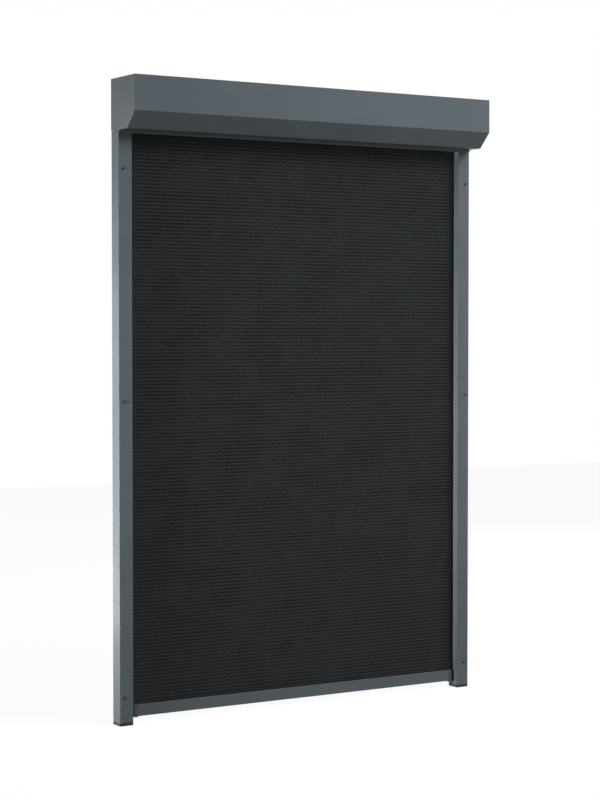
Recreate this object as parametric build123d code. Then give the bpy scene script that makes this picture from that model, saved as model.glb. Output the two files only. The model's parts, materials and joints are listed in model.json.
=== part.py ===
# A zip screen blind: cassette with motorised roller, two side guides, cloth and bottom bar.
# Millimetres. X runs to the viewer's right, Y back to the wall, Z up from the feet.
# The origin is under the middle of the blind, at the height of its feet.
import os
from math import cos, pi, radians, sin, sqrt

from build123d import *

# Whole blind
overall_height = 1570.0
guide_span = 1052.0  # between the outer faces of the two guides
cloth_setback = 16.0  # from the wall back-plane forward to the middle of the cloth

# Clearances
fit_gap = 0.2  # between rigid pieces that slip or clip together
soft_gap = 0.3  # between cloth and what it passes
running_gap = 0.05  # round a shaft or a screw
press_gap = 0.02  # round a pressed bush or pin

# Cassette
cassette_depth = 125.0
cassette_height = 125.0
cassette_slope = 39.5  # leg of the 45 degree slope at the lower front edge
cassette_overhang = 1.0  # how far the cassette stands past each guide
profile_wall = 1.8
corner_radius = 0.8
top_seam = 14.0  # from the front face back to the seam on top
seam_tongue = 11.0
seam_lap = 4.5
back_return = 5.5  # short inward flange along the lower back edge
end_plate = 3.0
end_plate_edge = 0.6
rim_wall = 2.0
rim_length = 10.0
roller_drop = 62.5  # from the cassette top down to the roller axis

# Exit lip under the cassette
lip_depth = 6.3
lip_drop_front = 2.2
lip_drop_back = 7.0
lip_hook = 7.0
lip_wall = 1.6

# Guides, seen from above: across is from the outer face inward, deep is from the front backward
guide_width = 36.0
guide_depth = 37.0
guide_wall = 1.8
guide_corner = 0.6
chamber_width = 19.8
guide_slot = 4.4
insert_depth = 16.0
insert_wall = 1.6
insert_mouth = 2.4
insert_rib = 12.0
inlet_height = 18.0
inlet_flare = 2.0
inlet_peg = 15.0
foot_height = 7.5
foot_plug = 12.0
end_tongue = 40.0
tongue_wall = 2.5
guide_screw_inset = 12.9
guide_screw_foot = 69.0  # from the floor to the lowest screw of a guide cover
guide_screw_middle = 790.0
guide_screw_drop = 91.8  # from the top of the guide to its highest screw
wall_hole_radius = 2.75
access_hole_radius = 5.5
wall_hole_foot = 120.0  # from the floor to the lowest wall fixing
wall_hole_drop = 125.0  # from the cassette's underside to the highest wall fixing

# Cloth and zip
cloth_thickness = 0.6
zip_band = 18.5  # smooth band that shows beside each guide
weld_lap = 12.5
tape_thickness = 0.6
tape_top_drop = 8.0  # from the roller axis down to where the tape joins the wound cloth
coil_radius = 2.5
wound_turns = 1.25
wound_gap = 0.1

# Roller
tube_radius = 39.0
tube_wall = 1.5
tube_end_inset = 21.0  # from the inner face of the end plate to the end of the tube
keder_radius = 2.9
keder_groove_radius = 3.2
keder_groove_wall = 1.4
keder_slot = 2.0
cloth_end_inset = 3.0  # from the end of the tube to the edge of the wound cloth

# Roller ends
bracket_margin = 11.0  # how far the round brackets reach past the tube
bracket_thickness = 3.0
bracket_standoff = 3.0
bracket_screw_circle = 43.0
bracket_boss_radius = 5.0
bracket_screw_radius = 2.5
idler_pin_radius = 6.0
idler_pin_reach = 48.0
plug_length = 60.0
plug_wall = 3.0
plug_spokes = 6
bush_wall = 3.0
bush_flange = 3.0
bush_flange_thickness = 2.0
clip_width = 3.0
clip_thickness = 1.2
head_radius = 36.0
head_bevel = 2.0
head_peg = 12.0
motor_radius = 25.0
motor_length = 380.0
crown_length = 18.0
shaft_radius = 7.0
shaft_reach = 28.0
shaft_seat = 10.0
wheel_length = 18.0

# Cable outlet in the back of the cassette, near the motor end
outlet_inset = 44.0
outlet_drop = 25.0
outlet_radius = 6.0
cable_radius = 3.5
grommet_flange = 2.0

# Bottom bar
bar_underside = 17.8  # above the feet with the blind down
bar_height = 28.4
bar_depth = 16.8
bar_wall = 1.6
bar_end_gap = 20.0  # from the end of the bar profile to the guide
bar_cap_length = 9.5
bar_cap_drop = 2.2  # how far the end caps reach below the bar
bar_cap_plug = 16.0
glider_inset = 1.0
glider_gap = 0.6  # between the glider and the guide's inner face
glider_tongue = 11.0
glider_stub = 5.5
glider_stub_depth = 7.0
glider_stub_height = 12.0
bar_keder_radius = 3.0
bar_pocket_radius = 3.3
bar_slot = 2.2
weight_radius = 4.7
weight_end_inset = 30.0
seal_stem = 2.6
seal_head = 6.6
seal_head_height = 2.6
seal_pad = 8.0
seal_pad_height = 0.8
seal_slot = 3.0
seal_pocket = 7.0
seal_pocket_height = 3.0

# Small screws
guide_screw_head_radius = 4.1
guide_screw_head_height = 2.2
guide_screw_radius = 1.75
guide_screw_length = 10.0
case_screw_head_radius = 3.6
case_screw_radius = 1.75
case_screw_length = 9.0
case_boss = 10.0
case_boss_height = 9.0
cover_screw_back = 62.5  # from the cassette's front face to the screw under its cover
back_screw_drops = (25.0, 100.0)
bracket_screw_head_radius = 4.4
bracket_screw_head_height = 2.6
bracket_screw_length = 7.5
drive_screw_head_radius = 2.6
drive_screw_radius = 1.45
drive_screw_length = 9.0

# Places that follow from the sizes above
wall_y = cassette_depth / 2
front_y = -cassette_depth / 2
top_z = overall_height
under_z = overall_height - cassette_height
guide_out_x = guide_span / 2
guide_in_x = guide_out_x - guide_width
guide_front_y = wall_y - guide_depth
cap_out_x = guide_out_x + cassette_overhang
profile_end_x = cap_out_x - end_plate
cloth_y = wall_y - cloth_setback
rail_top_z = under_z - fit_gap
axis_z = top_z - roller_drop
wound_pitch = cloth_thickness + wound_gap
wound_radius = tube_radius + wound_gap + wound_turns * wound_pitch + cloth_thickness
axis_y = cloth_y - cloth_thickness / 2 - soft_gap - wound_radius
tube_end_x = profile_end_x - tube_end_inset
bracket_radius = tube_radius + bracket_margin
bar_top_z = bar_underside + bar_height
bar_end_x = guide_in_x - bar_end_gap
case_screw_x = profile_end_x - rim_length / 2
guide_screw_heights = (guide_screw_foot, guide_screw_middle, rail_top_z - guide_screw_drop)
wall_hole_top = under_z - wall_hole_drop
wall_hole_heights = (wall_hole_foot, (wall_hole_foot + wall_hole_top) / 2, wall_hole_top)


# Profiles and prisms
def outline(points, corners=(), radius=0.0):
    # A flat face inside a closed outline, with the named corners rounded
    face = make_face(Polyline(*points, close=True))
    if radius and corners:
        picked = []
        for vertex in face.vertices():
            if any(abs(vertex.X - a) + abs(vertex.Y - b) < 0.01 for a, b in corners):
                picked.append(vertex)
        face = fillet(picked, radius)
    return face


def rectangle(low_a, high_a, low_b, high_b):
    middle = Pos((low_a + high_a) / 2, (low_b + high_b) / 2)
    return middle * Rectangle(high_a - low_a, high_b - low_b)


def disc(radius, a=0.0, b=0.0):
    return Pos(a, b) * Circle(radius)


def offset_path(points, distance):
    # An open path moved to its left, with its corners kept sharp
    moved = []
    for i, (a, b) in enumerate(points):
        normals = []
        for start, end in ((i - 1, i), (i, i + 1)):
            if 0 <= start and end < len(points):
                run_a = points[end][0] - points[start][0]
                run_b = points[end][1] - points[start][1]
                length = sqrt(run_a**2 + run_b**2)
                normals.append((-run_b / length, run_a / length))
        first, last = normals[0], normals[-1]
        reach = distance / (1 + first[0] * last[0] + first[1] * last[1])
        moved.append((a + reach * (first[0] + last[0]), b + reach * (first[1] + last[1])))
    return moved


def wall_along(points, near, far):
    # The closed outline of a wall between two distances to the left of a path
    return offset_path(points, near) + offset_path(points, far)[::-1]


def along_x(face, x_from, x_to):
    # Faces for this are drawn as (y, z)
    return extrude(Plane.YZ.offset(x_from) * face, amount=x_to - x_from, dir=(1, 0, 0))


def along_y(face, y_from, y_to):
    # Faces for this are drawn as (x, z)
    place = Plane(origin=(0, y_from, 0), x_dir=(1, 0, 0), z_dir=(0, -1, 0))
    return extrude(place * face, amount=y_to - y_from, dir=(0, 1, 0))


def along_z(face, z_from, z_to):
    # Faces for this are drawn as (x, y)
    return extrude(Pos(0, 0, z_from) * face, amount=z_to - z_from, dir=(0, 0, 1))


def block(x_from, x_to, y_from, y_to, z_from, z_to):
    return along_z(rectangle(x_from, x_to, y_from, y_to), z_from, z_to)


def on_axis(radius, x_from, x_to):
    # A cylinder on the roller axis
    return along_x(disc(radius, axis_y, axis_z), x_from, x_to)


def guide_xy(across, deep):
    # A point of the right-hand guide, from its outer face inward and its front backward
    return (guide_out_x - across, guide_front_y + deep)


def guide_outline(points, corners=(), radius=0.0):
    placed = [guide_xy(*point) for point in points]
    return outline(placed, [guide_xy(*corner) for corner in corners], radius)


def guide_rectangle(across_from, across_to, deep_from, deep_to):
    x_high, y_low = guide_xy(across_from, deep_from)
    x_low, y_high = guide_xy(across_to, deep_to)
    return rectangle(x_low, x_high, y_low, y_high)


def bracket_angles():
    return [45.0, 135.0, 225.0, 315.0]


def left_of(piece):
    return mirror(piece, about=Plane.YZ)


def facing(piece, point, direction):
    # Turns a screw drawn head-up on Z so that its head points along the direction
    return Plane(origin=point, z_dir=direction) * piece


def cross_recess(radius, depth, top):
    cut = Pos(0, 0, top - depth / 2) * Box(1.3 * radius, 0.28 * radius, depth)
    return cut + Rot(0, 0, 90) * cut


def pan_screw(head_radius, head_height, shank_radius, length):
    # The head's underside is at Z = 0
    head = Pos(0, 0, head_height / 2) * Cylinder(head_radius, head_height)
    head = fillet(head.faces().sort_by(Axis.Z)[-1].edges(), head_height * 0.6)
    head -= cross_recess(head_radius, head_height * 0.6, head_height)
    shank = Pos(0, 0, -length / 2) * Cylinder(shank_radius, length)
    tip = shank.faces().sort_by(Axis.Z)[0].edges()
    return head + chamfer(tip, shank_radius * 0.4)


def flush_screw(head_radius, shank_radius, length):
    # A countersunk screw whose flat head ends at Z = 0
    depth = head_radius - shank_radius
    cone = Pos(0, 0, -depth / 2) * Cone(shank_radius, head_radius, depth)
    shank = Pos(0, 0, -length / 2) * Cylinder(shank_radius, length)
    tip = shank.faces().sort_by(Axis.Z)[0].edges()
    screw = cone + chamfer(tip, shank_radius * 0.4)
    return screw - cross_recess(head_radius, depth * 0.7, 0.0)


def countersink(head_radius, shank_radius, length):
    # The hole for a flush screw
    depth = head_radius - shank_radius
    cone = Pos(0, 0, -depth / 2) * Cone(shank_radius, head_radius, depth)
    wide = Pos(0, 0, running_gap / 2) * Cylinder(head_radius + running_gap, running_gap)
    shank = Pos(0, 0, -length / 2) * Cylinder(shank_radius, length)
    return cone + wide + shank


# Cassette
def cassette_points():
    return [
        (wall_y, under_z),
        (wall_y, top_z),
        (front_y, top_z),
        (front_y, under_z + cassette_slope),
        (front_y + cassette_slope, under_z),
    ]


def outlet_place():
    return (profile_end_x - outlet_inset, top_z - outlet_drop)


def back_screw_places():
    return [(x, top_z - drop) for x in (-case_screw_x, case_screw_x) for drop in back_screw_drops]


def cover_screw_places():
    return [(x, front_y + cover_screw_back) for x in (-case_screw_x, case_screw_x)]


def cassette_back_profile():
    seam_y = front_y + top_seam + fit_gap
    inner_top = top_z - profile_wall
    tongue_top = inner_top - fit_gap
    tongue_low = tongue_top - profile_wall
    points = [
        (wall_y, under_z),
        (wall_y, top_z),
        (seam_y, top_z),
        (seam_y, tongue_top),
        (seam_y - seam_tongue, tongue_top),
        (seam_y - seam_tongue, tongue_low),
        (seam_y + seam_lap, tongue_low),
        (seam_y + seam_lap, inner_top),
        (wall_y - profile_wall, inner_top),
        (wall_y - profile_wall, under_z + profile_wall),
        (wall_y - back_return, under_z + profile_wall),
        (wall_y - back_return, under_z),
    ]
    face = outline(points, [(wall_y, top_z)], corner_radius)
    profile = along_x(face, -profile_end_x, profile_end_x)
    outlet_x, outlet_z = outlet_place()
    hole = disc(outlet_radius, outlet_x, outlet_z)
    profile -= along_y(hole, wall_y - 2 * profile_wall, wall_y + profile_wall)
    for x, z in back_screw_places():
        cut = countersink(case_screw_head_radius, case_screw_radius + running_gap, case_screw_length)
        profile -= facing(cut, (x, wall_y, z), (0, 1, 0))
    return profile


def cover_path():
    lip_front = guide_front_y - fit_gap - lip_depth
    return [
        (front_y + top_seam, top_z),
        (front_y, top_z),
        (front_y, under_z + cassette_slope),
        (front_y + cassette_slope, under_z),
        (lip_front + lip_depth / 2, under_z),
    ]


def cassette_front_cover():
    path = cover_path()
    points = wall_along(path, 0.0, profile_wall)
    face = outline(points, path[1:4], corner_radius)
    cover = along_x(face, -profile_end_x, profile_end_x)
    for x, y in cover_screw_places():
        cut = countersink(case_screw_head_radius, case_screw_radius + running_gap, case_screw_length)
        cover -= facing(cut, (x, y, under_z), (0, 0, -1))
    return cover


def exit_lip():
    back = guide_front_y - fit_gap
    front = back - lip_depth
    edge = front + lip_depth / 2 + fit_gap
    hook_low = under_z + profile_wall + fit_gap
    hook_top = hook_low + lip_wall
    points = [
        (front, under_z),
        (edge, under_z),
        (edge, hook_low),
        (edge - lip_hook, hook_low),
        (edge - lip_hook, hook_top),
        (back, hook_top),
        (back, under_z - lip_drop_back),
        (front, under_z - lip_drop_front),
    ]
    return along_x(outline(points), -profile_end_x, profile_end_x)


def chamber_fit(gap):
    # The hollow of the guide's fixing chamber, drawn in by a gap
    return (
        2 * guide_wall + fit_gap + gap,
        chamber_width - guide_wall - gap,
        2 * guide_wall + fit_gap + gap,
        guide_depth - guide_wall - gap,
    )


def end_cap():
    plate_face = outline(cassette_points(), cassette_points(), corner_radius)
    plate = along_x(plate_face, profile_end_x, cap_out_x)
    plate = fillet(plate.faces().sort_by(Axis.X)[-1].edges(), end_plate_edge)
    rim = profile_wall + fit_gap
    rim_start = profile_end_x - rim_length
    seam_y = front_y + top_seam + fit_gap + seam_lap + fit_gap
    back_path = [(wall_y, under_z + back_return), (wall_y, top_z), (seam_y, top_z)]
    cap = plate + along_x(outline(wall_along(back_path, rim, rim + rim_wall)), rim_start, profile_end_x)
    front_path = cover_path()
    front_path[0] = (front_y, top_z - seam_tongue)
    front_path[-1] = (guide_front_y - lip_depth - lip_hook, under_z)
    front_path.pop(1)
    cap += along_x(outline(wall_along(front_path, rim, rim + rim_wall)), rim_start, profile_end_x)
    for angle in bracket_angles():
        y = axis_y + bracket_screw_circle * cos(radians(angle))
        z = axis_z + bracket_screw_circle * sin(radians(angle))
        cap += along_x(disc(bracket_boss_radius, y, z), profile_end_x - bracket_standoff, profile_end_x)
        hole = disc(bracket_screw_radius + running_gap, y, z)
        cap -= along_x(hole, profile_end_x - bracket_standoff, cap_out_x - end_plate / 2)
    for x, y in cover_screw_places():
        if x > 0:
            half = case_boss / 2
            low = under_z + rim
            cap += block(x - half, x + half, y - half, y + half, low, low + case_boss_height)
            hole = disc(case_screw_radius + running_gap, x, y)
            cap -= along_z(hole, low, low + case_boss_height)
    for x, z in back_screw_places():
        if x > 0:
            half = case_boss / 2
            back = wall_y - rim
            cap += block(x - half, x + half, back - case_boss_height, back, z - half, z + half)
            hole = disc(case_screw_radius + running_gap, x, z)
            cap -= along_y(hole, back - case_boss_height, back)
    return cap + end_cap_foot()


def end_cap_foot():
    # The foot stands on the guide, and its hollow tongue goes down into the guide's chamber
    across_from, across_to, deep_from, deep_to = chamber_fit(fit_gap)
    deep_to = min(deep_to, guide_depth - back_return - fit_gap)
    plate_side = guide_out_x - profile_end_x
    foot_face = guide_rectangle(plate_side, chamber_width, deep_from, deep_to)
    foot = along_z(foot_face, under_z, under_z + 2 * rim_wall)
    outer = guide_rectangle(across_from, across_to, deep_from, deep_to)
    inner = guide_rectangle(
        across_from + tongue_wall, across_to - tongue_wall, deep_from + tongue_wall, deep_to - tongue_wall
    )
    return foot + along_z(outer - inner, under_z - end_tongue, under_z + rim_wall)


def cover_screws():
    group = []
    for x, y in cover_screw_places():
        screw = flush_screw(case_screw_head_radius, case_screw_radius, case_screw_length)
        group.append(facing(screw, (x, y, under_z), (0, 0, -1)))
    return group


def back_screws():
    group = []
    for x, z in back_screw_places():
        screw = flush_screw(case_screw_head_radius, case_screw_radius, case_screw_length)
        group.append(facing(screw, (x, wall_y, z), (0, 1, 0)))
    return group


def cable_grommet():
    x, z = outlet_place()
    inner_y = wall_y - profile_wall
    flange = disc(outlet_radius + grommet_flange, x, z)
    neck = disc(outlet_radius - press_gap, x, z)
    grommet = along_y(flange, inner_y - grommet_flange, inner_y)
    grommet += along_y(neck, inner_y, wall_y - fit_gap)
    return grommet - along_y(disc(cable_radius, x, z), inner_y - 2 * grommet_flange, wall_y)


# Roller and its ends
def groove_centre_z():
    return axis_z + tube_radius - keder_groove_radius - keder_groove_wall - fit_gap


def groove_notch(depth_gap):
    # Room for the tube's keder groove in whatever fills the tube
    centre = groove_centre_z()
    half = keder_groove_radius + keder_groove_wall + depth_gap
    notch = disc(half, axis_y, centre)
    return notch + rectangle(axis_y - half, axis_y + half, centre, axis_z + tube_radius)


def tube_fill_radius():
    return tube_radius - tube_wall - fit_gap


def tube_filler(x_from, x_to):
    face = disc(tube_fill_radius(), axis_y, axis_z) - groove_notch(fit_gap)
    return along_x(face, x_from, x_to)


def wheel_middle_x():
    return tube_end_x + bracket_x_gap() - motor_length - shaft_reach + shaft_seat + wheel_length / 2


def bracket_x_gap():
    # From the end of the tube to the bracket plate
    return tube_end_inset - bracket_standoff - bracket_thickness


def roller_tube():
    centre = groove_centre_z()
    face = disc(tube_radius, axis_y, axis_z) - disc(tube_radius - tube_wall, axis_y, axis_z)
    pocket = disc(keder_groove_radius + keder_groove_wall, axis_y, centre)
    face += pocket & disc(tube_radius, axis_y, axis_z)
    face -= disc(keder_groove_radius, axis_y, centre)
    face -= rectangle(axis_y - keder_slot / 2, axis_y + keder_slot / 2, centre, top_z)
    tube = along_x(face, -tube_end_x, tube_end_x)
    hole = countersink(drive_screw_head_radius, drive_screw_radius + running_gap, drive_screw_length)
    return tube - facing(hole, drive_screw_point(), (0, 0, -1))


def drive_screw_point():
    return (wheel_middle_x(), axis_y, axis_z - tube_radius + wound_gap)


def drive_screw():
    screw = flush_screw(drive_screw_head_radius, drive_screw_radius, drive_screw_length)
    return facing(screw, drive_screw_point(), (0, 0, -1))


def wound_half_width():
    return tube_end_x - cloth_end_inset


def roller_keder():
    centre = groove_centre_z()
    half = wound_half_width()
    tail_half = cloth_thickness / 2
    face = disc(keder_radius, axis_y, centre)
    face += rectangle(axis_y - tail_half, axis_y + tail_half, centre, axis_z + tube_radius)
    return along_x(face, -half, half)


def fabric_roll():
    # The cloth on the tube winds inward from where it hangs to the keder at the top of the tube
    steps = round(24 * wound_turns)
    inner = []
    outer = []
    for i in range(steps + 1):
        turn = wound_turns * i / steps
        radius = wound_radius - cloth_thickness - wound_pitch * turn
        y, z = cos(2 * pi * turn), sin(2 * pi * turn)
        inner.append((axis_y + radius * y, axis_z + radius * z))
        outer.append((axis_y + (radius + cloth_thickness) * y, axis_z + (radius + cloth_thickness) * z))
    ends = [Line(inner[0], outer[0]), Line(inner[-1], outer[-1])]
    face = make_face([Spline(*inner), ends[0], Spline(*outer), ends[1]])
    half = wound_half_width()
    return along_x(face, -half, half)


def bracket_plate():
    # The plate of the right-hand bracket, before its middle is cut
    face = disc(bracket_radius, axis_y, axis_z)
    for angle in bracket_angles():
        y = axis_y + bracket_screw_circle * cos(radians(angle))
        z = axis_z + bracket_screw_circle * sin(radians(angle))
        face -= disc(bracket_screw_radius + running_gap, y, z)
    outer = profile_end_x - bracket_standoff
    return along_x(face, outer - bracket_thickness, outer)


def bracket_screws():
    screw = pan_screw(
        bracket_screw_head_radius,
        bracket_screw_head_height,
        bracket_screw_radius - press_gap,
        bracket_screw_length - running_gap,
    )
    x = profile_end_x - bracket_standoff - bracket_thickness
    group = []
    for angle in bracket_angles():
        y = axis_y + bracket_screw_circle * cos(radians(angle))
        z = axis_z + bracket_screw_circle * sin(radians(angle))
        group.append(facing(screw, (x, y, z), (-1, 0, 0)))
    return group


def motor_bracket():
    half = head_peg / 2 + fit_gap
    hole = rectangle(axis_y - half, axis_y + half, axis_z - half, axis_z + half)
    return bracket_plate() - along_x(hole, tube_end_x, cap_out_x)


def motor_head():
    inner = tube_end_x + fit_gap
    outer = profile_end_x - bracket_standoff - bracket_thickness
    head = on_axis(head_radius, inner, outer)
    head = chamfer(head.edges().filter_by(GeomType.CIRCLE), head_bevel)
    half = head_peg / 2
    peg = rectangle(axis_y - half, axis_y + half, axis_z - half, axis_z + half)
    return head + along_x(peg, outer, outer + bracket_thickness)


def motor_body():
    outer = tube_end_x + fit_gap
    inner = profile_end_x - bracket_standoff - bracket_thickness - motor_length
    body = chamfer(on_axis(motor_radius, inner, outer).edges().filter_by(GeomType.CIRCLE), 1.0)
    return body - on_axis(shaft_radius + running_gap, inner, inner + shaft_seat + running_gap)


def motor_shaft():
    inner = profile_end_x - bracket_standoff - bracket_thickness - motor_length
    return on_axis(shaft_radius, inner - shaft_reach + shaft_seat, inner + shaft_seat)


def motor_crown():
    outer = tube_end_x
    return tube_filler(outer - crown_length, outer) - on_axis(
        motor_radius + running_gap, outer - crown_length, outer
    )


def drive_wheel():
    middle = wheel_middle_x()
    half = wheel_length / 2
    wheel = tube_filler(middle - half, middle + half)
    wheel -= on_axis(shaft_radius + press_gap, middle - half, middle + half)
    hole = countersink(drive_screw_head_radius, drive_screw_radius + running_gap, drive_screw_length)
    return wheel - facing(hole, drive_screw_point(), (0, 0, -1))


def idler_plug():
    # A cup with a hub and spokes, pushed into the left end of the tube
    fill = tube_fill_radius()
    hub = idler_pin_radius + 2 * plug_wall
    ring = disc(fill, axis_y, axis_z) - disc(fill - plug_wall, axis_y, axis_z)
    ring += groove_notch(fit_gap + plug_wall) & disc(fill, axis_y, axis_z)
    face = ring + disc(hub, axis_y, axis_z)
    for i in range(plug_spokes):
        angle = 360.0 * (i + 0.5) / plug_spokes
        spoke = Pos((hub + fill - plug_wall) / 2, 0) * Rectangle(fill - hub, plug_wall)
        face += Pos(axis_y, axis_z) * Rot(0, 0, angle) * spoke
    face -= groove_notch(fit_gap)
    bore = disc(idler_pin_radius + press_gap, axis_y, axis_z)
    plug = along_x(face - bore, -tube_end_x, plug_length - tube_end_x)
    flange = disc(tube_radius, axis_y, axis_z) - bore
    return plug + along_x(flange, -tube_end_x - plug_wall, -tube_end_x)


def idler_pin():
    outer = -profile_end_x + bracket_standoff + running_gap
    pin = on_axis(idler_pin_radius, outer, idler_pin_reach - tube_end_x)
    return chamfer(pin.edges().filter_by(GeomType.CIRCLE), 0.8)


def idler_clip():
    # A retaining ring between the plug and the bush
    face = disc(idler_pin_radius + clip_width, axis_y, axis_z)
    face -= disc(idler_pin_radius + press_gap, axis_y, axis_z)
    outer = -tube_end_x - plug_wall - fit_gap
    return along_x(face, outer - clip_thickness, outer)


def bush_ends():
    outer = -profile_end_x + bracket_standoff
    inner = -tube_end_x - plug_wall - 2 * fit_gap - clip_thickness
    return outer, inner


def idler_bush():
    outer, inner = bush_ends()
    radius = idler_pin_radius + running_gap + bush_wall
    bush = on_axis(radius, outer, inner)
    bush += on_axis(radius + bush_flange, inner - bush_flange_thickness, inner)
    return bush - on_axis(idler_pin_radius + running_gap, outer, inner)


def idler_bracket():
    outer, inner = bush_ends()
    bore = idler_pin_radius + running_gap + bush_wall + press_gap
    plate = left_of(bracket_plate())
    boss = on_axis(bore + bush_flange, outer, inner - bush_flange_thickness)
    return plate + boss - on_axis(bore, outer, inner)


# Guides
def insert_sides():
    # Both sides of the zip insert, across the guide
    return chamber_width + fit_gap, guide_width - guide_wall - fit_gap


def insert_depths():
    middle = guide_depth - cloth_setback
    return middle - insert_depth / 2, middle + insert_depth / 2


def slot_edges(width):
    middle = guide_depth - cloth_setback
    return middle - width / 2, middle + width / 2


def coil_x():
    near, far = insert_sides()
    return guide_out_x - (near + far) / 2


def guide_base():
    slot_front, slot_back = slot_edges(guide_slot)
    under_cover = guide_wall + fit_gap
    seam = slot_front + fit_gap
    rail = [
        (0.0, seam),
        (0.0, guide_depth),
        (guide_width, guide_depth),
        (guide_width, slot_back),
        (guide_width - guide_wall, slot_back),
        (guide_width - guide_wall, guide_depth - guide_wall),
        (chamber_width, guide_depth - guide_wall),
        (chamber_width, under_cover),
        (under_cover, under_cover),
        (under_cover, seam),
    ]
    face = guide_outline(rail, rail[1:3], guide_corner)
    front = under_cover + guide_wall
    side = chamber_width - guide_wall
    back = guide_depth - guide_wall
    hollow = [
        (front, front),
        (side, front),
        (side, back),
        (guide_wall, back),
        (guide_wall, seam + guide_wall),
        (front, seam + guide_wall),
    ]
    face -= guide_outline(hollow)
    near, far = insert_depths()
    rib_end = chamber_width + insert_rib
    face += guide_rectangle(chamber_width, rib_end, near - fit_gap - guide_wall, near - fit_gap)
    face += guide_rectangle(chamber_width, rib_end, far + fit_gap, far + fit_gap + guide_wall)
    base = along_z(face, foot_height, rail_top_z)
    for z in guide_screw_heights:
        x, y = guide_xy(guide_screw_inset, under_cover)
        base -= along_y(disc(guide_screw_radius + running_gap, x, z), y - fit_gap, y + guide_wall + fit_gap)
    for z in wall_hole_heights:
        x, y = guide_xy((chamber_width + guide_wall) / 2, under_cover)
        base -= along_y(disc(access_hole_radius, x, z), y - fit_gap, y + guide_wall + fit_gap)
        base -= along_y(disc(wall_hole_radius, x, z), wall_y - guide_wall - fit_gap, wall_y + fit_gap)
    return base


def guide_cover():
    slot_front, slot_back = slot_edges(guide_slot)
    channel = [
        (0.0, slot_front),
        (0.0, 0.0),
        (guide_width, 0.0),
        (guide_width, slot_front),
        (guide_width - guide_wall, slot_front),
        (guide_width - guide_wall, guide_wall),
        (guide_wall, guide_wall),
        (guide_wall, slot_front),
    ]
    face = guide_outline(channel, channel[1:3], guide_corner)
    cover = along_z(face, foot_height, rail_top_z)
    for z in guide_screw_heights:
        x, y = guide_xy(guide_screw_inset, 0.0)
        cover -= along_y(disc(guide_screw_radius + running_gap, x, z), y - fit_gap, y + guide_wall + fit_gap)
    return cover


def guide_screws():
    screw = pan_screw(
        guide_screw_head_radius, guide_screw_head_height, guide_screw_radius, guide_screw_length
    )
    x, y = guide_xy(guide_screw_inset, 0.0)
    return [facing(screw, (x, y, z), (0, -1, 0)) for z in guide_screw_heights]


def insert_face(mouth):
    left, right = insert_sides()
    near, far = insert_depths()
    face = guide_rectangle(left, right, near, far)
    face -= guide_rectangle(
        left + insert_wall, right - insert_wall, near + insert_wall, far - insert_wall
    )
    slot_front, slot_back = slot_edges(mouth)
    return face - guide_rectangle(right - insert_wall - fit_gap, right + fit_gap, slot_front, slot_back)


def zip_insert():
    return along_z(insert_face(insert_mouth), foot_height, rail_top_z)


def guide_inlet():
    # The funnel that leads the zip from the roller into the insert
    left, right = insert_sides()
    near, far = insert_depths()
    top = under_z + inlet_height
    body = along_z(insert_face(insert_mouth), under_z, top)
    slot_front, slot_back = slot_edges(insert_mouth)
    middle = guide_depth - cloth_setback
    x_mid, y_mid = guide_xy(right - insert_wall / 2, middle)
    low = Rectangle(2 * insert_wall, insert_mouth)
    high = Rectangle(2 * insert_wall, insert_mouth + 2 * inlet_flare)
    flare_low = Pos(x_mid, y_mid, top - inlet_height / 2) * low
    flare_high = Pos(x_mid, y_mid, top) * high
    body -= loft([flare_low, flare_high])
    peg = guide_rectangle(
        left, right - insert_wall, guide_wall + fit_gap, near - 2 * fit_gap - guide_wall
    )
    rest = guide_rectangle(left, right - insert_wall, guide_wall + fit_gap, near)
    body += along_z(rest, under_z, under_z + guide_wall)
    return body + along_z(peg, under_z - inlet_peg, under_z + guide_wall)


def guide_foot():
    square = [(0.0, 0.0), (guide_width, 0.0), (guide_width, guide_depth), (0.0, guide_depth)]
    foot = along_z(guide_outline(square, square, guide_corner), 0.0, foot_height)
    across_from, across_to, deep_from, deep_to = chamber_fit(fit_gap)
    plug = guide_rectangle(across_from, across_to, deep_from, deep_to)
    hollow = guide_rectangle(
        across_from + tongue_wall, across_to - tongue_wall, deep_from + tongue_wall, deep_to - tongue_wall
    )
    return foot + along_z(plug - hollow, foot_height, foot_height + foot_plug)


# Cloth
def screen_fabric():
    half = guide_in_x - zip_band + weld_lap
    face = rectangle(-half, half, cloth_y - cloth_thickness / 2, cloth_y + cloth_thickness / 2)
    return along_z(face, bar_top_z + soft_gap, axis_z)


def zip_strip():
    front = cloth_y - cloth_thickness / 2 - tape_thickness
    back = cloth_y - cloth_thickness / 2
    tape = rectangle(guide_in_x - zip_band, coil_x(), front, back)
    strip = along_z(tape, bar_top_z + soft_gap, axis_z - tape_top_drop)
    coil = disc(coil_radius, coil_x(), (front + back) / 2)
    return strip + along_z(coil, bar_top_z + soft_gap, under_z + cassette_slope)


# Bottom bar
def bar_faces():
    return cloth_y - bar_depth / 2, cloth_y + bar_depth / 2


def keder_centre_z():
    return bar_top_z - bar_wall - bar_pocket_radius - bar_wall / 2


def chamber_heights():
    low = bar_underside + 2 * bar_wall + seal_pocket_height
    high = keder_centre_z() - bar_pocket_radius - bar_wall
    return low, high - bar_wall / 2


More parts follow.
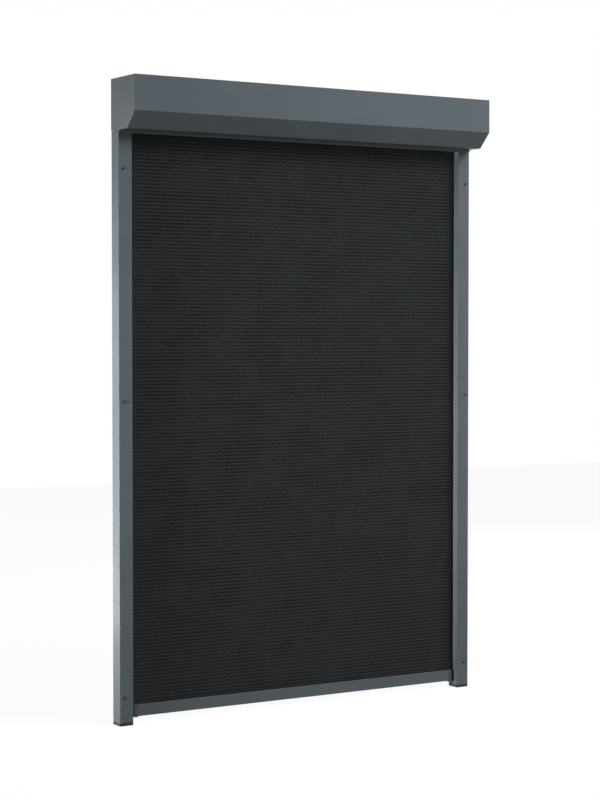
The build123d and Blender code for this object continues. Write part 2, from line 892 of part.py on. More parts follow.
def bottom_bar():
    front, back = bar_faces()
    corners = [(front, bar_underside), (back, bar_underside), (back, bar_top_z), (front, bar_top_z)]
    shell = outline(corners, corners, guide_corner)
    shell -= rectangle(front + bar_wall, back - bar_wall, bar_underside + bar_wall, bar_top_z - bar_wall)
    low, high = chamber_heights()
    inside = (front + bar_wall, back - bar_wall)
    shell += rectangle(*inside, low - bar_wall, low)
    shell += rectangle(*inside, high, high + bar_wall)
    shell += disc(bar_pocket_radius + bar_wall, cloth_y, keder_centre_z())
    shell -= disc(bar_pocket_radius, cloth_y, keder_centre_z())
    shell -= rectangle(cloth_y - bar_slot / 2, cloth_y + bar_slot / 2, keder_centre_z(), bar_top_z)
    pocket_half = seal_pocket / 2
    pocket_low = bar_underside + bar_wall
    for side in (-1, 1):
        rib = sorted((cloth_y + side * pocket_half, cloth_y + side * (pocket_half + bar_wall)))
        shell += rectangle(*rib, pocket_low, low)
    slot_half = seal_slot / 2
    shell -= rectangle(cloth_y - slot_half, cloth_y + slot_half, bar_underside, pocket_low)
    return along_x(shell, -bar_end_x, bar_end_x)


def bar_keder():
    face = disc(bar_keder_radius, cloth_y, keder_centre_z())
    half = cloth_thickness / 2
    face += rectangle(cloth_y - half, cloth_y + half, keder_centre_z(), bar_top_z)
    return along_x(face, -bar_end_x, bar_end_x)


def weight_rod():
    low, high = chamber_heights()
    end = bar_end_x - weight_end_inset
    return along_x(disc(weight_radius, cloth_y, low + weight_radius + fit_gap / 2), -end, end)


def bar_seal():
    low = bar_underside - seal_pad_height
    pocket_low = bar_underside + bar_wall
    face = rectangle(cloth_y - seal_pad / 2, cloth_y + seal_pad / 2, low, bar_underside)
    face += rectangle(cloth_y - seal_stem / 2, cloth_y + seal_stem / 2, low, pocket_low + fit_gap)
    head = (cloth_y - seal_head / 2, cloth_y + seal_head / 2)
    face += rectangle(*head, pocket_low, pocket_low + seal_head_height)
    return along_x(face, -bar_end_x, bar_end_x)


def glider_stub_box(gap):
    # The stub by which a glider sits in its end cap, or the recess for it
    middle = bar_underside + bar_height / 2
    half_y = glider_stub_depth / 2 + gap
    half_z = glider_stub_height / 2 + gap
    end = bar_end_x + bar_cap_length
    face = rectangle(cloth_y - half_y, cloth_y + half_y, middle - half_z, middle + half_z)
    return along_x(face, end - glider_stub - gap, end + gap)


def bar_end_cap():
    front, back = bar_faces()
    low = bar_underside - bar_cap_drop
    corners = [(front, low), (back, low), (back, bar_top_z), (front, bar_top_z)]
    cap = along_x(outline(corners, corners, guide_corner), bar_end_x, bar_end_x + bar_cap_length)
    chamber_low, chamber_high = chamber_heights()
    plug = rectangle(
        front + bar_wall + fit_gap, back - bar_wall - fit_gap, chamber_low + fit_gap, chamber_high - fit_gap
    )
    cap += along_x(plug, bar_end_x - bar_cap_plug, bar_end_x)
    return cap - glider_stub_box(fit_gap)


def bar_glider():
    front, back = bar_faces()
    inner = bar_end_x + bar_cap_length
    outer = guide_in_x - glider_gap
    low = (front + glider_inset, bar_underside)
    high = (back - glider_inset, bar_top_z)
    corners = [low, (high[0], low[1]), high, (low[0], high[1])]
    glider = along_x(outline(corners, corners, guide_corner), inner, outer)
    half = insert_mouth / 2 - soft_gap
    tongue_low = bar_underside + 2 * bar_wall
    tongue_high = bar_top_z - 2 * bar_wall
    glider += block(outer, outer + glider_tongue, cloth_y - half, cloth_y + half, tongue_low, tongue_high)
    return glider + glider_stub_box(0.0)


def save(name, piece):
    pieces = piece if isinstance(piece, list) else [piece]
    solids = [solid for shape in pieces for solid in shape.solids()]
    export_step(Compound(children=solids), f"parts/{name}.step")


def save_pair(name, piece):
    # The right-hand piece and its mirror image
    pieces = piece if isinstance(piece, list) else [piece]
    save(f"{name}_right", pieces)
    save(f"{name}_left", [left_of(shape) for shape in pieces])


os.makedirs("parts", exist_ok=True)

save("cassette_back_profile", cassette_back_profile())
save("cassette_front_cover", cassette_front_cover())
save("exit_lip", exit_lip())
save_pair("end_cap", end_cap())
save("cover_screws", cover_screws())
save("back_screws", back_screws())
save("cable_grommet", cable_grommet())

save("roller_tube", roller_tube())
save("roller_keder", roller_keder())
save("fabric_roll", fabric_roll())
save_pair("bracket_screws", bracket_screws())
save("motor_bracket", motor_bracket())
save("motor_head", motor_head())
save("motor_body", motor_body())
save("motor_shaft", motor_shaft())
save("motor_crown", motor_crown())
save("drive_wheel", drive_wheel())
save("drive_screw", drive_screw())
save("idler_plug", idler_plug())
save("idler_pin", idler_pin())
save("idler_clip", idler_clip())
save("idler_bush", idler_bush())
save("idler_bracket", idler_bracket())

save_pair("guide_base", guide_base())
save_pair("guide_cover", guide_cover())
save_pair("guide_screws", guide_screws())
save_pair("zip_insert", zip_insert())
save_pair("guide_inlet", guide_inlet())
save_pair("guide_foot", guide_foot())

save("screen_fabric", screen_fabric())
save_pair("zip_strip", zip_strip())

save("bottom_bar", bottom_bar())
save("bar_keder", bar_keder())
save("weight_rod", weight_rod())
save("bar_seal", bar_seal())
save_pair("bar_end_cap", bar_end_cap())
save_pair("bar_glider", bar_glider())
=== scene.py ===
import json
from math import cos, pi, radians, sin, tau

import bmesh
import bpy
from mathutils import Matrix, Vector


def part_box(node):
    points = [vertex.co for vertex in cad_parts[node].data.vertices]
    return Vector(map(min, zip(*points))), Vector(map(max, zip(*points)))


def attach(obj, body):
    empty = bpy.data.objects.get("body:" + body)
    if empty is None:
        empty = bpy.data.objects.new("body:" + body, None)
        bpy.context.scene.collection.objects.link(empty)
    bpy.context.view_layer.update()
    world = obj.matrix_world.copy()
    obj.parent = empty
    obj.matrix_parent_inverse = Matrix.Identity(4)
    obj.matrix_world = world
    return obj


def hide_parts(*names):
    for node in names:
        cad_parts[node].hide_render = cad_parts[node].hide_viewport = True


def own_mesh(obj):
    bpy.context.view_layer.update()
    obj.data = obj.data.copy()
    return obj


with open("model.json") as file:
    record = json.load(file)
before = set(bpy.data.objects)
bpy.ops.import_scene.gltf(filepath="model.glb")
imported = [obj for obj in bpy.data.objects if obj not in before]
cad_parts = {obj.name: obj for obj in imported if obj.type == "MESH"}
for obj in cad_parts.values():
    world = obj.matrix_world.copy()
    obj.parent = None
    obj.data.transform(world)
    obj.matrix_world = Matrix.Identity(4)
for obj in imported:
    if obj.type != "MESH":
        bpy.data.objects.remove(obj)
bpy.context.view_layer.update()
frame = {"nodes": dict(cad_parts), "record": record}

mm = 0.001
nodes = frame["nodes"]
record = frame["record"]


# Small helpers for node materials

def colour(red, green, blue):
    # 0-255 display values to the linear values that the shaders take
    def linear(value):
        part = value / 255
        if part <= 0.04045:
            return part / 12.92
        return ((part + 0.055) / 1.055) ** 2.4
    return (linear(red), linear(green), linear(blue), 1.0)


def feed(tree, socket, value):
    # links another node's output, or sets a plain value
    if isinstance(value, bpy.types.NodeSocket):
        tree.links.new(value, socket)
    else:
        socket.default_value = value


def addNode(tree, kind, inputs=None, **settings):
    # inputs go by name, or by number where names repeat
    made = tree.nodes.new(kind)
    for name, value in settings.items():
        setattr(made, name, value)
    for name, value in (inputs or {}).items():
        feed(tree, made.inputs[name], value)
    return made


def newMaterial(name, values):
    material = bpy.data.materials.new(name)
    material.use_nodes = True
    tree = material.node_tree
    shader = tree.nodes["Principled BSDF"]
    for socket, value in values.items():
        feed(tree, shader.inputs[socket], value)
    return material, tree, shader


def objectPoint(tree):
    return addNode(tree, "ShaderNodeTexCoord").outputs["Object"]


# Noise lies mostly between these values. The narrow pair lets more places reach both ends.
wideNoise = (0.3, 0.7)
narrowNoise = (0.35, 0.65)


def noise(tree, point, size, detail=3.0, roughness=0.55):
    # size is the grain in metres
    made = addNode(tree, "ShaderNodeTexNoise", {
        "Vector": point, "Scale": 1 / size, "Detail": detail, "Roughness": roughness})
    return made.outputs["Fac"]


waveRate = 20  # radians that a wave texture of scale 1 goes through in a metre


def bands(tree, point, period, direction):
    # even bands, one each period metres
    made = addNode(tree, "ShaderNodeTexWave", {
        "Vector": point, "Scale": tau / waveRate / period}, bands_direction=direction)
    return made.outputs["Fac"]


def calc(tree, operation, first, second=0.0, clamp=False):
    made = addNode(tree, "ShaderNodeMath", {0: first, 1: second},
                   operation=operation, use_clamp=clamp)
    return made.outputs["Value"]


def spread(tree, value, low, high, fromLow=0.0, fromHigh=1.0):
    made = addNode(tree, "ShaderNodeMapRange", {
        "Value": value, "From Min": fromLow, "From Max": fromHigh, "To Min": low, "To Max": high})
    return made.outputs["Result"]


def mixColour(tree, share, first, second):
    # the colour sockets of a Mix node are numbers 6 and 7, and its colour output is number 2
    made = addNode(tree, "ShaderNodeMix", {0: share, 6: first, 7: second}, data_type="RGBA")
    return made.outputs[2]


def bump(tree, shader, height, depth, strength=1.0, under=None):
    made = addNode(tree, "ShaderNodeBump", {
        "Height": height, "Strength": strength, "Distance": depth})
    if under is not None:
        feed(tree, made.inputs["Normal"], under)
    feed(tree, shader.inputs["Normal"], made.outputs["Normal"])
    return made.outputs["Normal"]


def edgeWearAndHighlight(tree, radius, angles):
    # 0 on flat faces, 1 on sharp edges, from how far a rounded normal leans off the face's own
    rounded = addNode(tree, "ShaderNodeBevel", {"Radius": radius}, samples=4).outputs["Normal"]
    own = addNode(tree, "ShaderNodeNewGeometry").outputs["Normal"]
    lean = addNode(tree, "ShaderNodeVectorMath", {0: rounded, 1: own}, operation="DOT_PRODUCT")
    flat, sharp = (cos(radians(angle)) for angle in angles)
    return spread(tree, lean.outputs["Value"], 0.0, 1.0, flat, sharp)


# Paint of the cassette, the guides and the bottom bar

paint = {
    "base": (86, 94, 99),
    "dark": (82, 90, 95),
    "cloud": 160 * mm,         # over which the paint goes from base to dark
    "roughness": (0.36, 0.46),
    "specular": 0.2,
    "grain": 1.1 * mm,
    "grainRoughness": 0.4,
    "grainDepth": 0.012 * mm,
    # lighter paint at the edges: partly wear, partly a painted edge highlight
    "wornAndHighlit": (112, 117, 121),
    "edge": 0.35 * mm,         # how far the wear and the painted edge highlight reach from an edge
    "edgeAngles": (10, 35),    # degrees of lean where wear starts and where it is full
    "edgeShare": 0.35,
    "speck": 0.35 * mm,
    "speckShare": (0.4, 1.0),  # how much of the wear and painted highlight shows between the specks and in them
    "speckNoise": (0.35, 0.6),
}


def powderPaint(given=paint):
    material, tree, shader = newMaterial("anthracitePaint", {
        "Specular IOR Level": given["specular"]})
    point = objectPoint(tree)
    cloud = noise(tree, point, given["cloud"], detail=2.0)
    grain = noise(tree, point, given["grain"], detail=2.0, roughness=given["grainRoughness"])
    speck = noise(tree, point, given["speck"], detail=1.0)
    mixed = mixColour(tree, spread(tree, cloud, 0.0, 1.0, *narrowNoise),
                      colour(*given["base"]), colour(*given["dark"]))
    # edges are lighter in the colour: partly wear, partly a painted edge highlight
    edges = edgeWearAndHighlight(tree, given["edge"], given["edgeAngles"])
    specks = spread(tree, speck, *given["speckShare"], *given["speckNoise"])
    wearAndHighlight = calc(tree, "MULTIPLY", calc(tree, "MULTIPLY", edges, given["edgeShare"]), specks,
                clamp=True)
    feed(tree, shader.inputs["Base Color"], mixColour(tree, wearAndHighlight, mixed, colour(*given["wornAndHighlit"])))
    feed(tree, shader.inputs["Roughness"], spread(tree, cloud, *given["roughness"], *wideNoise))
    bump(tree, shader, grain, given["grainDepth"])
    return material


# Moulded plastic, rubber and metals

plasticCloud = 12 * mm  # over which a moulding goes from its tone to the other

plastics = {
    "blackPlastic": {"tone": (28, 29, 30), "other": (33, 34, 35), "roughness": (0.52, 0.66),
                     "specular": 0.35, "grain": 0.5 * mm, "depth": 0.02 * mm},
    "greyPlastic": {"tone": (62, 64, 66), "other": (68, 70, 72), "roughness": (0.42, 0.54),
                    "specular": 0.4, "grain": 0.5 * mm, "depth": 0.02 * mm},
    "blackRubber": {"tone": (24, 24, 25), "other": (33, 33, 33), "roughness": (0.6, 0.8),
                    "specular": 0.35, "grain": 0.8 * mm, "depth": 0.02 * mm},
    "paleNylon": {"tone": (206, 203, 192), "other": (196, 192, 180), "roughness": (0.4, 0.5),
                  "specular": 0.5, "grain": 0.6 * mm, "depth": 0.01 * mm},
}

metals = {
    "zincSteel": {"tone": (176, 180, 184), "other": (150, 155, 160), "roughness": (0.32, 0.5),
                  "grain": 9 * mm},
    "brightSteel": {"tone": (198, 199, 200), "other": (180, 182, 184), "roughness": (0.2, 0.32),
                    "grain": 3 * mm},
    "motorTube": {"tone": (150, 152, 154), "other": (132, 134, 137), "roughness": (0.34, 0.46),
                  "grain": 6 * mm},
}

drawnLines = {
    "width": 0.5 * mm,
    "depth": 0.004 * mm,
    "drawOut": 0.06,  # scale along the profiles, so that the lines run that way
}


def mouldedPlastic(name):
    given = plastics[name]
    material, tree, shader = newMaterial(name, {"Specular IOR Level": given["specular"]})
    point = objectPoint(tree)
    cloud = noise(tree, point, plasticCloud)
    grain = noise(tree, point, given["grain"], detail=2.0)
    mixed = mixColour(tree, cloud, colour(*given["tone"]), colour(*given["other"]))
    feed(tree, shader.inputs["Base Color"], mixed)
    feed(tree, shader.inputs["Roughness"], spread(tree, cloud, *given["roughness"], *wideNoise))
    bump(tree, shader, grain, given["depth"])
    return material


def bareMetal(name):
    given = metals[name]
    material, tree, shader = newMaterial(name, {"Metallic": 1.0})
    point = objectPoint(tree)
    drawn = addNode(tree, "ShaderNodeMapping", {
        "Vector": point, "Scale": (drawnLines["drawOut"], 1, 1)}).outputs["Vector"]
    cloud = noise(tree, point, given["grain"])
    lines = noise(tree, drawn, drawnLines["width"], detail=2.0)
    mixed = mixColour(tree, cloud, colour(*given["tone"]), colour(*given["other"]))
    feed(tree, shader.inputs["Base Color"], mixed)
    feed(tree, shader.inputs["Roughness"], spread(tree, lines, *given["roughness"], *narrowNoise))
    bump(tree, shader, lines, drawnLines["depth"])
    return material


screwFinish = {
    "tone": (58, 62, 65),
    "roughness": (0.34, 0.48),
    "metallic": 0.2,
    "specular": 0.4,
    "grain": 1.5 * mm,
    "depth": 0.01 * mm,
    # the lighter rim of the heads: partly wear, partly a painted highlight
    "wornAndHighlit": (120, 122, 124),
    "edge": 0.15 * mm,
    "edgeAngles": (10, 40),
    "edgeShare": 0.5,
}


def darkScrews(given=screwFinish):
    material, tree, shader = newMaterial("darkScrewSteel", {
        "Metallic": given["metallic"], "Specular IOR Level": given["specular"]})
    grain = noise(tree, objectPoint(tree), given["grain"])
    # the rims are lighter in the colour: partly wear, partly a painted highlight
    edges = edgeWearAndHighlight(tree, given["edge"], given["edgeAngles"])
    wearAndHighlight = calc(tree, "MULTIPLY", edges, given["edgeShare"])
    mixed = mixColour(tree, wearAndHighlight, colour(*given["tone"]), colour(*given["wornAndHighlit"]))
    feed(tree, shader.inputs["Base Color"], mixed)
    feed(tree, shader.inputs["Roughness"], spread(tree, grain, *given["roughness"], *wideNoise))
    bump(tree, shader, grain, given["depth"])
    return material


# Cloth

weave = {
    "tone": (39, 42, 44),
    # the colour of the painted shade in the grooves and steps, also used for the pinholes
    "groove": (3, 3, 4),
    "rib": 8.6 * mm,             # from one rib to the next
    "float": 14.03 * mm,         # along a rib, from one raised float to the next
    "rise": 15.9 * mm,           # up the cloth, over which the floats step back by one
    "grooveShare": 0.34,         # how much of half a rib the groove takes
    "gapShare": 0.3,             # how much of half a float the step to the next one takes
    "grooveShadeShare": 0.95,           # how dark the painted shade in the grooves and the steps is, and how dark the pinholes are
    "stepShadeShare": 0.25,
    "holeShare": 0.8,
    "uneven": 11 * mm,           # over which the pinholes come and go
    "patch": 75 * mm,            # areas where the ribs, and the painted shade in their grooves, show less or more
    "patchShare": (0.65, 1.15),
    "wobble": 3.2 * mm,          # small changes of tone, and how strong they are
    "wobbleShare": 0.26,
    "reliefDepth": 0.28 * mm,    # of the ribs in the mesh
    "ribPower": 0.6,             # below 1 the crests are broad and the grooves narrow
    "ribMiddle": 0.7,
    "floatDepth": 0.12 * mm,
    "yarn": 0.55 * mm,
    "yarnDepth": 0.05 * mm,
    "yarnStrength": 0.6,
    "roughness": 0.62,
    "specular": 0.15,
    "sheen": 0.02,
    "sheenRoughness": 0.4,
}
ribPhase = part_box("screen_fabric")[0].z  # the lowest rib starts at the lower edge

# the zip tape is thin, so the weave of the cloth under it shows through, only fainter, with
# fainter painted shade in its grooves and steps
tapeWeave = {
    **weave,
    "tone": (37, 40, 42),
    "grooveShadeShare": 0.75,
    "stepShadeShare": 0.15,
    "holeShare": 0.3,
    "floatDepth": 0.06 * mm,
}


def mapPoint(tree, width, length):
    # the piece's own UV map as metres along X and Z, for cloth that curves
    place = addNode(tree, "ShaderNodeTexCoord").outputs["UV"]
    mapping = addNode(tree, "ShaderNodeMapping", {
        "Vector": place, "Scale": (width, length, 1), "Rotation": (radians(90), 0, 0)})
    return mapping.outputs["Vector"]


def nearEnds(tree, count, share):
    # count rises by 1 with each rib or float: gives 1 at its ends, and 0 more than share away
    inside = calc(tree, "SUBTRACT", calc(tree, "FRACT", count), 0.5)
    return spread(tree, calc(tree, "ABSOLUTE", inside), 0.0, 1.0, 0.5 - share, 0.5)


def wovenCloth(name, mapSize=None, given=weave):
    material, tree, shader = newMaterial(name, {
        "Roughness": given["roughness"], "Specular IOR Level": given["specular"],
        "Sheen Weight": given["sheen"], "Sheen Roughness": given["sheenRoughness"]})
    place = mapPoint(tree, *mapSize) if mapSize else objectPoint(tree)
    axes = addNode(tree, "ShaderNodeSeparateXYZ", {"Vector": place})
    along, up = axes.outputs["X"], axes.outputs["Z"]

    ribCount = calc(tree, "DIVIDE", calc(tree, "SUBTRACT", up, ribPhase), given["rib"])
    floatCount = calc(tree, "ADD", calc(tree, "DIVIDE", along, given["float"]),
                      calc(tree, "DIVIDE", up, given["rise"]))
    patch = spread(tree, noise(tree, place, given["patch"], detail=1.0),
                   *given["patchShare"], *narrowNoise)
    uneven = spread(tree, noise(tree, place, given["uneven"], detail=1.0), 0.0, 1.0, *narrowNoise)
    # the grooves and the steps between floats are darkened in the colour: painted shade in the
    # hollows of the weave
    groove = calc(tree, "MULTIPLY", nearEnds(tree, ribCount, given["grooveShare"]), patch)
    gap = nearEnds(tree, floatCount, given["gapShare"])
    crossing = calc(tree, "MULTIPLY", calc(tree, "MULTIPLY", groove, gap), uneven)
    lines = calc(tree, "ADD", calc(tree, "MULTIPLY", groove, given["grooveShadeShare"]),
                 calc(tree, "MULTIPLY", gap, given["stepShadeShare"]))
    shadedHollows = calc(tree, "ADD", lines, calc(tree, "MULTIPLY", crossing, given["holeShare"]),
                  clamp=True)

    wobble = spread(tree, noise(tree, place, given["wobble"], detail=2.0),
                    -given["wobbleShare"], given["wobbleShare"], *wideNoise)
    tone = calc(tree, "ADD", shadedHollows, wobble, clamp=True)
    mixed = mixColour(tree, tone, colour(*given["tone"]), colour(*given["groove"]))
    feed(tree, shader.inputs["Base Color"], mixed)

    yarn = calc(tree, "MAXIMUM", bands(tree, place, given["yarn"], "X"),
                bands(tree, place, given["yarn"], "Z"))
    fine = bump(tree, shader, yarn, given["yarnDepth"], given["yarnStrength"])
    bump(tree, shader, calc(tree, "SUBTRACT", 1.0, shadedHollows), given["floatDepth"], under=fine)
    return material


finishes = {
    "painted_aluminium": powderPaint(),
    "black_plastic": mouldedPlastic("blackPlastic"),
    "grey_plastic": mouldedPlastic("greyPlastic"),
    "black_rubber": mouldedPlastic("blackRubber"),
    "screen_cloth": wovenCloth("screenCloth"),
    "zip_tape": wovenCloth("zipTapeCloth", given=tapeWeave),
    "dark_screws": darkScrews(),
    "zinc_steel": bareMetal("zincSteel"),
    "bright_steel": bareMetal("brightSteel"),
    "motor_tube": bareMetal("motorTube"),
    "pale_nylon": mouldedPlastic("paleNylon"),
}
print("materials")

slotOf = {part["node"]: part["material_slot"] for part in record["subparts"]}
for name, piece in nodes.items():
    for place in piece.material_slots:
        place.material = finishes[slotOf[name]]
print("CAD nodes")


# New pieces

half = 0.5  # a new grid runs from -half to half, so its places plus half are shares of its length


def newGrid(columns, rows, withMap=False):
    shape = bmesh.new()
    if withMap:
        shape.loops.layers.uv.new("UVMap")
    bmesh.ops.create_grid(shape, x_segments=columns, y_segments=rows, size=half, calc_uvs=withMap)
    return shape


def addObject(name, shape, material):
    mesh = bpy.data.meshes.new(name)
    shape.to_mesh(mesh)
    shape.free()
    mesh.materials.append(material)
    made = bpy.data.objects.new(name, mesh)
    bpy.context.scene.collection.objects.link(made)
    return made


def finishPiece(name, shape, body, slotName, material=None):
    bmesh.ops.recalc_face_normals(shape, faces=shape.faces)
    piece = addObject(name, shape, material or finishes[slotName])
    for face in piece.data.polygons:
        face.use_smooth = True
    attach(piece, body)
    return piece


def thicken(piece, thickness):
    solid = piece.modifiers.new("thickness", "SOLIDIFY")
    solid.thickness = thickness
    solid.offset = 0.0  # half to each side


def windsUp(piece):
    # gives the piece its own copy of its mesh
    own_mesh(piece)


def across(place, width, columns, rim):
    # metres from one edge of a sheet; its outermost faces are narrow, so that the shading of
    # its rim stays at the rim
    number = round((place + half) * columns)
    if number in (0, columns):
        return width * number / columns
    return rim + (width - 2 * rim) * (number - 1) / (columns - 2)


def ribSwell(z):
    # how far a rib stands out, from about -0.7 in a groove to 0.3 on a crest
    return abs(sin(pi * (z - ribPhase) / weave["rib"])) ** weave["ribPower"] - weave["ribMiddle"]


def fading(distance, reach):
    return min(1.0, max(0.0, distance / reach))


# Cloth that hangs between the guides

clothSheet = {
    "thickness": 0.5 * mm,
    "perRib": 8,         # steps up one rib
    "columns": 26,
    "rim": 1.0 * mm,
}


def hangingCloth(given=clothSheet):
    low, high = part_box("screen_fabric")
    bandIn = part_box("zip_strip_right")[0].x
    middleY = (low.y + high.y) / 2
    ribs = (high.z - low.z) / weave["rib"]
    shape = newGrid(given["columns"], round(ribs * given["perRib"]))
    for point in shape.verts:
        x = low.x + across(point.co.x, high.x - low.x, given["columns"], given["rim"])
        z = low.z + (point.co.y + half) * (high.z - low.z)
        fade = fading(high.x - abs(x), high.x - bandIn)
        point.co = (x, middleY - fade * weave["reliefDepth"] * ribSwell(z), z)
    cloth = finishPiece("screen_cloth", shape, "housing", "screen_cloth")
    thicken(cloth, given["thickness"])
    return cloth


cloth = hangingCloth()
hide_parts("screen_fabric")
clothLow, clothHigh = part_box("screen_fabric")
windsUp(cloth)
print("cloth")


# Zip tapes and their teeth, one down each side

zipTapes = {
    "thickness": 0.5 * mm,
    "columns": 9,
    "rim": 0.4 * mm,
    "reliefDepth": 0.2 * mm,
    "smoothOver": 5.0 * mm,  # over which the ribs fade, up to the edge of the cloth underneath
}

zipTeeth = {
    "wire": 0.36 * mm,       # half the thickness of the wound wire
    "pitch": 2.2 * mm,
    "stepsPerTurn": 8,
    "sides": 5,
    "sectionTurns": 13,      # wound once and then repeated
    "belowTape": 15 * mm,    # from the top of the tape down to the last tooth
    "merge": 0.02 * mm,      # ends of sections nearer than this become one
}


def zipPlace(side):
    # the strip's box, its side of the blind, and the radius and distance of its coil of teeth
    low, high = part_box("zip_strip_" + side)
    sign = 1 if side == "right" else -1
    coil = (high.y - low.y) / 2
    return low, high, sign, coil, max(abs(low.x), abs(high.x)) - coil


def zipTapePiece(side, given=zipTapes):
    low, high, sign, coil, outer = zipPlace(side)
    length = high.z - low.z
    middleY = (low.y + high.y) / 2
    inner = min(abs(low.x), abs(high.x))
    rows = round(length / weave["rib"] * clothSheet["perRib"])
    shape = newGrid(given["columns"], rows)
    for point in shape.verts:
        x = inner + across(point.co.x, outer - inner, given["columns"], given["rim"])
        z = low.z + (point.co.y + half) * length
        fade = fading(clothHigh.x - x, given["smoothOver"])
        point.co = (sign * x, middleY - fade * given["reliefDepth"] * ribSwell(z), z)
    tape = finishPiece("zip_tape_" + side, shape, "housing", "zip_tape")
    thicken(tape, given["thickness"])
    windsUp(tape)
    return tape, (outer - inner, length)


def zipTeethPiece(side, given=zipTeeth):
    low, high, sign, coil, outer = zipPlace(side)
    wire, pitch, turns = given["wire"], given["pitch"], given["sectionTurns"]
    centre = Vector((sign * outer, (low.y + high.y) / 2, low.z + wire))
    top = high.z - given["belowTape"]
    sections = int((top - low.z - 2 * wire) / (pitch * turns))

    shape = bmesh.new()
    start = Matrix.Translation(centre + Vector((coil - wire, 0, 0)))
    ring = bmesh.ops.create_circle(shape, segments=given["sides"], radius=wire,
                                   matrix=start @ Matrix.Rotation(pi / 2, 4, "X"))["verts"]
    edges = list({edge for point in ring for edge in point.link_edges})
    bmesh.ops.spin(shape, geom=ring + edges, cent=centre, axis=(0, 0, 1), angle=tau * turns,
                   steps=turns * given["stepsPerTurn"],
                   dvec=(0, 0, pitch / given["stepsPerTurn"]))

    section = shape.verts[:] + shape.edges[:] + shape.faces[:]
    for number in range(1, sections):
        copied = bmesh.ops.duplicate(shape, geom=section)["geom"]
        moved = [part for part in copied if isinstance(part, bmesh.types.BMVert)]
        bmesh.ops.translate(shape, verts=moved, vec=(0, 0, number * turns * pitch))
    bmesh.ops.remove_doubles(shape, verts=shape.verts, dist=given["merge"])
    bmesh.ops.holes_fill(shape, edges=[edge for edge in shape.edges if edge.is_boundary])
    teeth = finishPiece("zip_teeth_" + side, shape, "housing", "black_plastic")
    windsUp(teeth)
    return teeth


for side in ("left", "right"):
    tape, tapeSize = zipTapePiece(side)
    teeth = zipTeethPiece(side)
    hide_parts("zip_strip_" + side)
print("zips")


# Cloth still wound on the tube

clothRoll = {
    "thickness": 0.5 * mm,
    "turns": 1.25,
    "pitch": 0.7 * mm,  # by which each turn lies further in than the one before
    "steps": 160,
    "columns": 40,
}


def woundCloth(given=clothRoll):
    low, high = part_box("fabric_roll")
    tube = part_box("roller_tube")
    axisY, axisZ = (tube[0].y + tube[1].y) / 2, (tube[0].z + tube[1].z) / 2
    start = high.y - axisY - (clothHigh.y - clothLow.y) / 2
    length = tau * given["turns"] * (start - given["pitch"] * given["turns"] / 2)
    shape = newGrid(given["columns"], given["steps"], withMap=True)
    for point in shape.verts:
        turn = (point.co.y + half) * given["turns"]
        radius = start - given["pitch"] * turn
        point.co = (low.x + (point.co.x + half) * (high.x - low.x),
                    axisY + radius * cos(tau * turn), axisZ + radius * sin(tau * turn))
    size = (high.x - low.x, length)
    roll = finishPiece("wound_cloth", shape, "roller", "screen_cloth",
                       wovenCloth("woundScreenCloth", size))
    thicken(roll, given["thickness"])
    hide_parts("fabric_roll")


woundCloth()
print("roll")


# Camera and light

view = {
    "place": (-2.7745, -4.3616, 0.9643),  # metres; yaw and pitch are in degrees
    "yaw": 32.22,
    "pitch": -1.97,
    "lens": 91.63,
    "longSide": 36.0,
    "farthest": 100,
}


def addCamera(given=view):
    data = bpy.data.cameras.new("camera")
    data.sensor_width = given["longSide"]
    data.lens = given["lens"]
    data.clip_end = given["farthest"]
    eye = bpy.data.objects.new("camera", data)
    eye.location = given["place"]
    eye.rotation_euler = (radians(90 + given["pitch"]), 0, radians(-given["yaw"]))
    bpy.context.scene.collection.objects.link(eye)
    bpy.context.scene.camera = eye


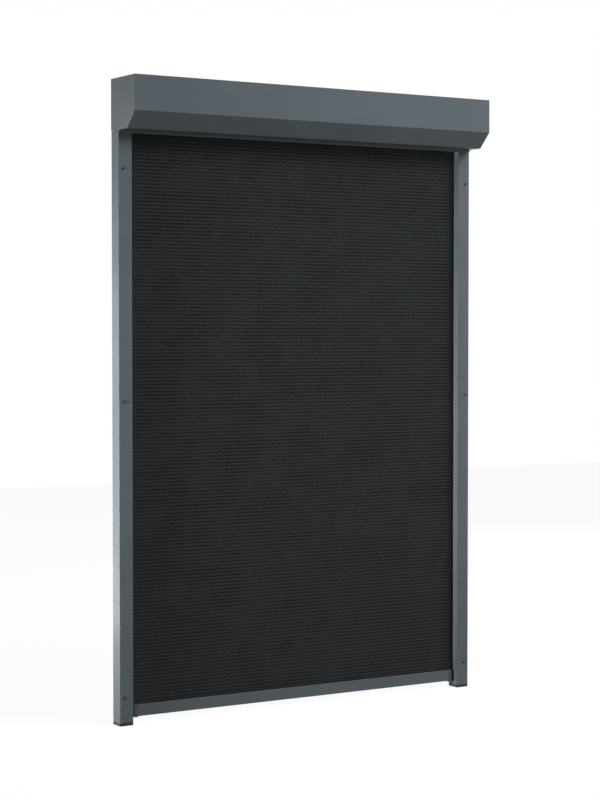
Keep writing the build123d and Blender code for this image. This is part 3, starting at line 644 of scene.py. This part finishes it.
# Azimuth is from straight in front of the blind, towards its right-hand end. The key and left
# lamps aren't mirrored, because they would glare in the top seen from behind and in the front
# seen from the far right.
lamps = {
    "key": {"azimuth": 35, "away": 3.4, "height": 3.4, "aimHeight": 1.1,
            "size": (2.6, 2.0), "power": 205, "spread": 180, "mirrored": False},
    "right": {"azimuth": 54, "away": 3.4, "height": 0.9, "aimHeight": 0.8,
              "size": (1.0, 1.2), "power": 3.5, "spread": 180, "mirrored": True},
    "left": {"azimuth": -84, "away": 6.0, "height": 0.7, "aimHeight": 0.7,
             "size": (0.8, 0.8), "power": 11.2, "spread": 21, "mirrored": False},
    "leftBack": {"azimuth": -150, "away": 3.2, "height": 0.9, "aimHeight": 0.4,
                 "size": (1.2, 0.4), "power": 8.0, "spread": 180, "mirrored": True},
    "rightBack": {"azimuth": 118, "away": 4.5, "height": 2.0, "aimHeight": 0.9,
                  "size": (2.6, 2.4), "power": 60, "spread": 180, "mirrored": True},
    "lowBack": {"azimuth": -135, "away": 2.6, "height": 0.12, "aimHeight": 0.12,
                "size": (0.8, 0.2), "power": 19.5, "spread": 180, "mirrored": True},
}


def addLamps(given=lamps):
    for name, lamp in given.items():
        data = bpy.data.lights.new(name, "AREA")
        data.shape = "RECTANGLE"
        data.size, data.size_y = lamp["size"]
        data.energy = lamp["power"]
        data.spread = radians(lamp["spread"])
        turn = radians(lamp["azimuth"])
        place = Vector((lamp["away"] * sin(turn), -lamp["away"] * cos(turn), lamp["height"]))
        aim = Vector((0, 0, lamp["aimHeight"])) - place
        made = bpy.data.objects.new(name, data)
        made.location = place
        made.rotation_euler = aim.to_track_quat("-Z", "Y").to_euler()
        made.visible_glossy = lamp["mirrored"]
        bpy.context.scene.collection.objects.link(made)


surround = {
    "ambient": 0.1,
    "floorTone": 0.08,
    "floorGlow": 0.94,
    "floorSize": 14.0,
    "floorRoughness": 0.9,
}


def seenDirectly(tree):
    # 1 for camera, glossy and transmission rays, 0 for the rays that light the object
    path = addNode(tree, "ShaderNodeLightPath").outputs
    either = calc(tree, "MAXIMUM", path["Is Camera Ray"], path["Is Glossy Ray"])
    return calc(tree, "MAXIMUM", either, path["Is Transmission Ray"])


def addSurround(given=surround):
    white = colour(255, 255, 255)
    world = bpy.data.worlds.new("studio")
    bpy.context.scene.world = world
    world.use_nodes = True
    tree = world.node_tree
    background = tree.nodes["Background"]
    glow = spread(tree, seenDirectly(tree), given["ambient"], 1.0)
    feed(tree, background.inputs["Color"], white)
    feed(tree, background.inputs["Strength"], glow)

    tone = given["floorTone"]
    material, tree, shader = newMaterial("paleFloor", {
        "Base Color": (tone, tone, tone, 1), "Roughness": given["floorRoughness"],
        "Specular IOR Level": 0.0, "Emission Color": white})
    glow = spread(tree, seenDirectly(tree), 0.0, given["floorGlow"])
    feed(tree, shader.inputs["Emission Strength"], glow)
    shape = bmesh.new()
    bmesh.ops.create_grid(shape, x_segments=1, y_segments=1, size=given["floorSize"] / 2)
    floor = addObject("floor", shape, material)


addCamera()
addLamps()
addSurround()
bpy.context.scene.view_settings.view_transform = "Standard"
print("camera and light")
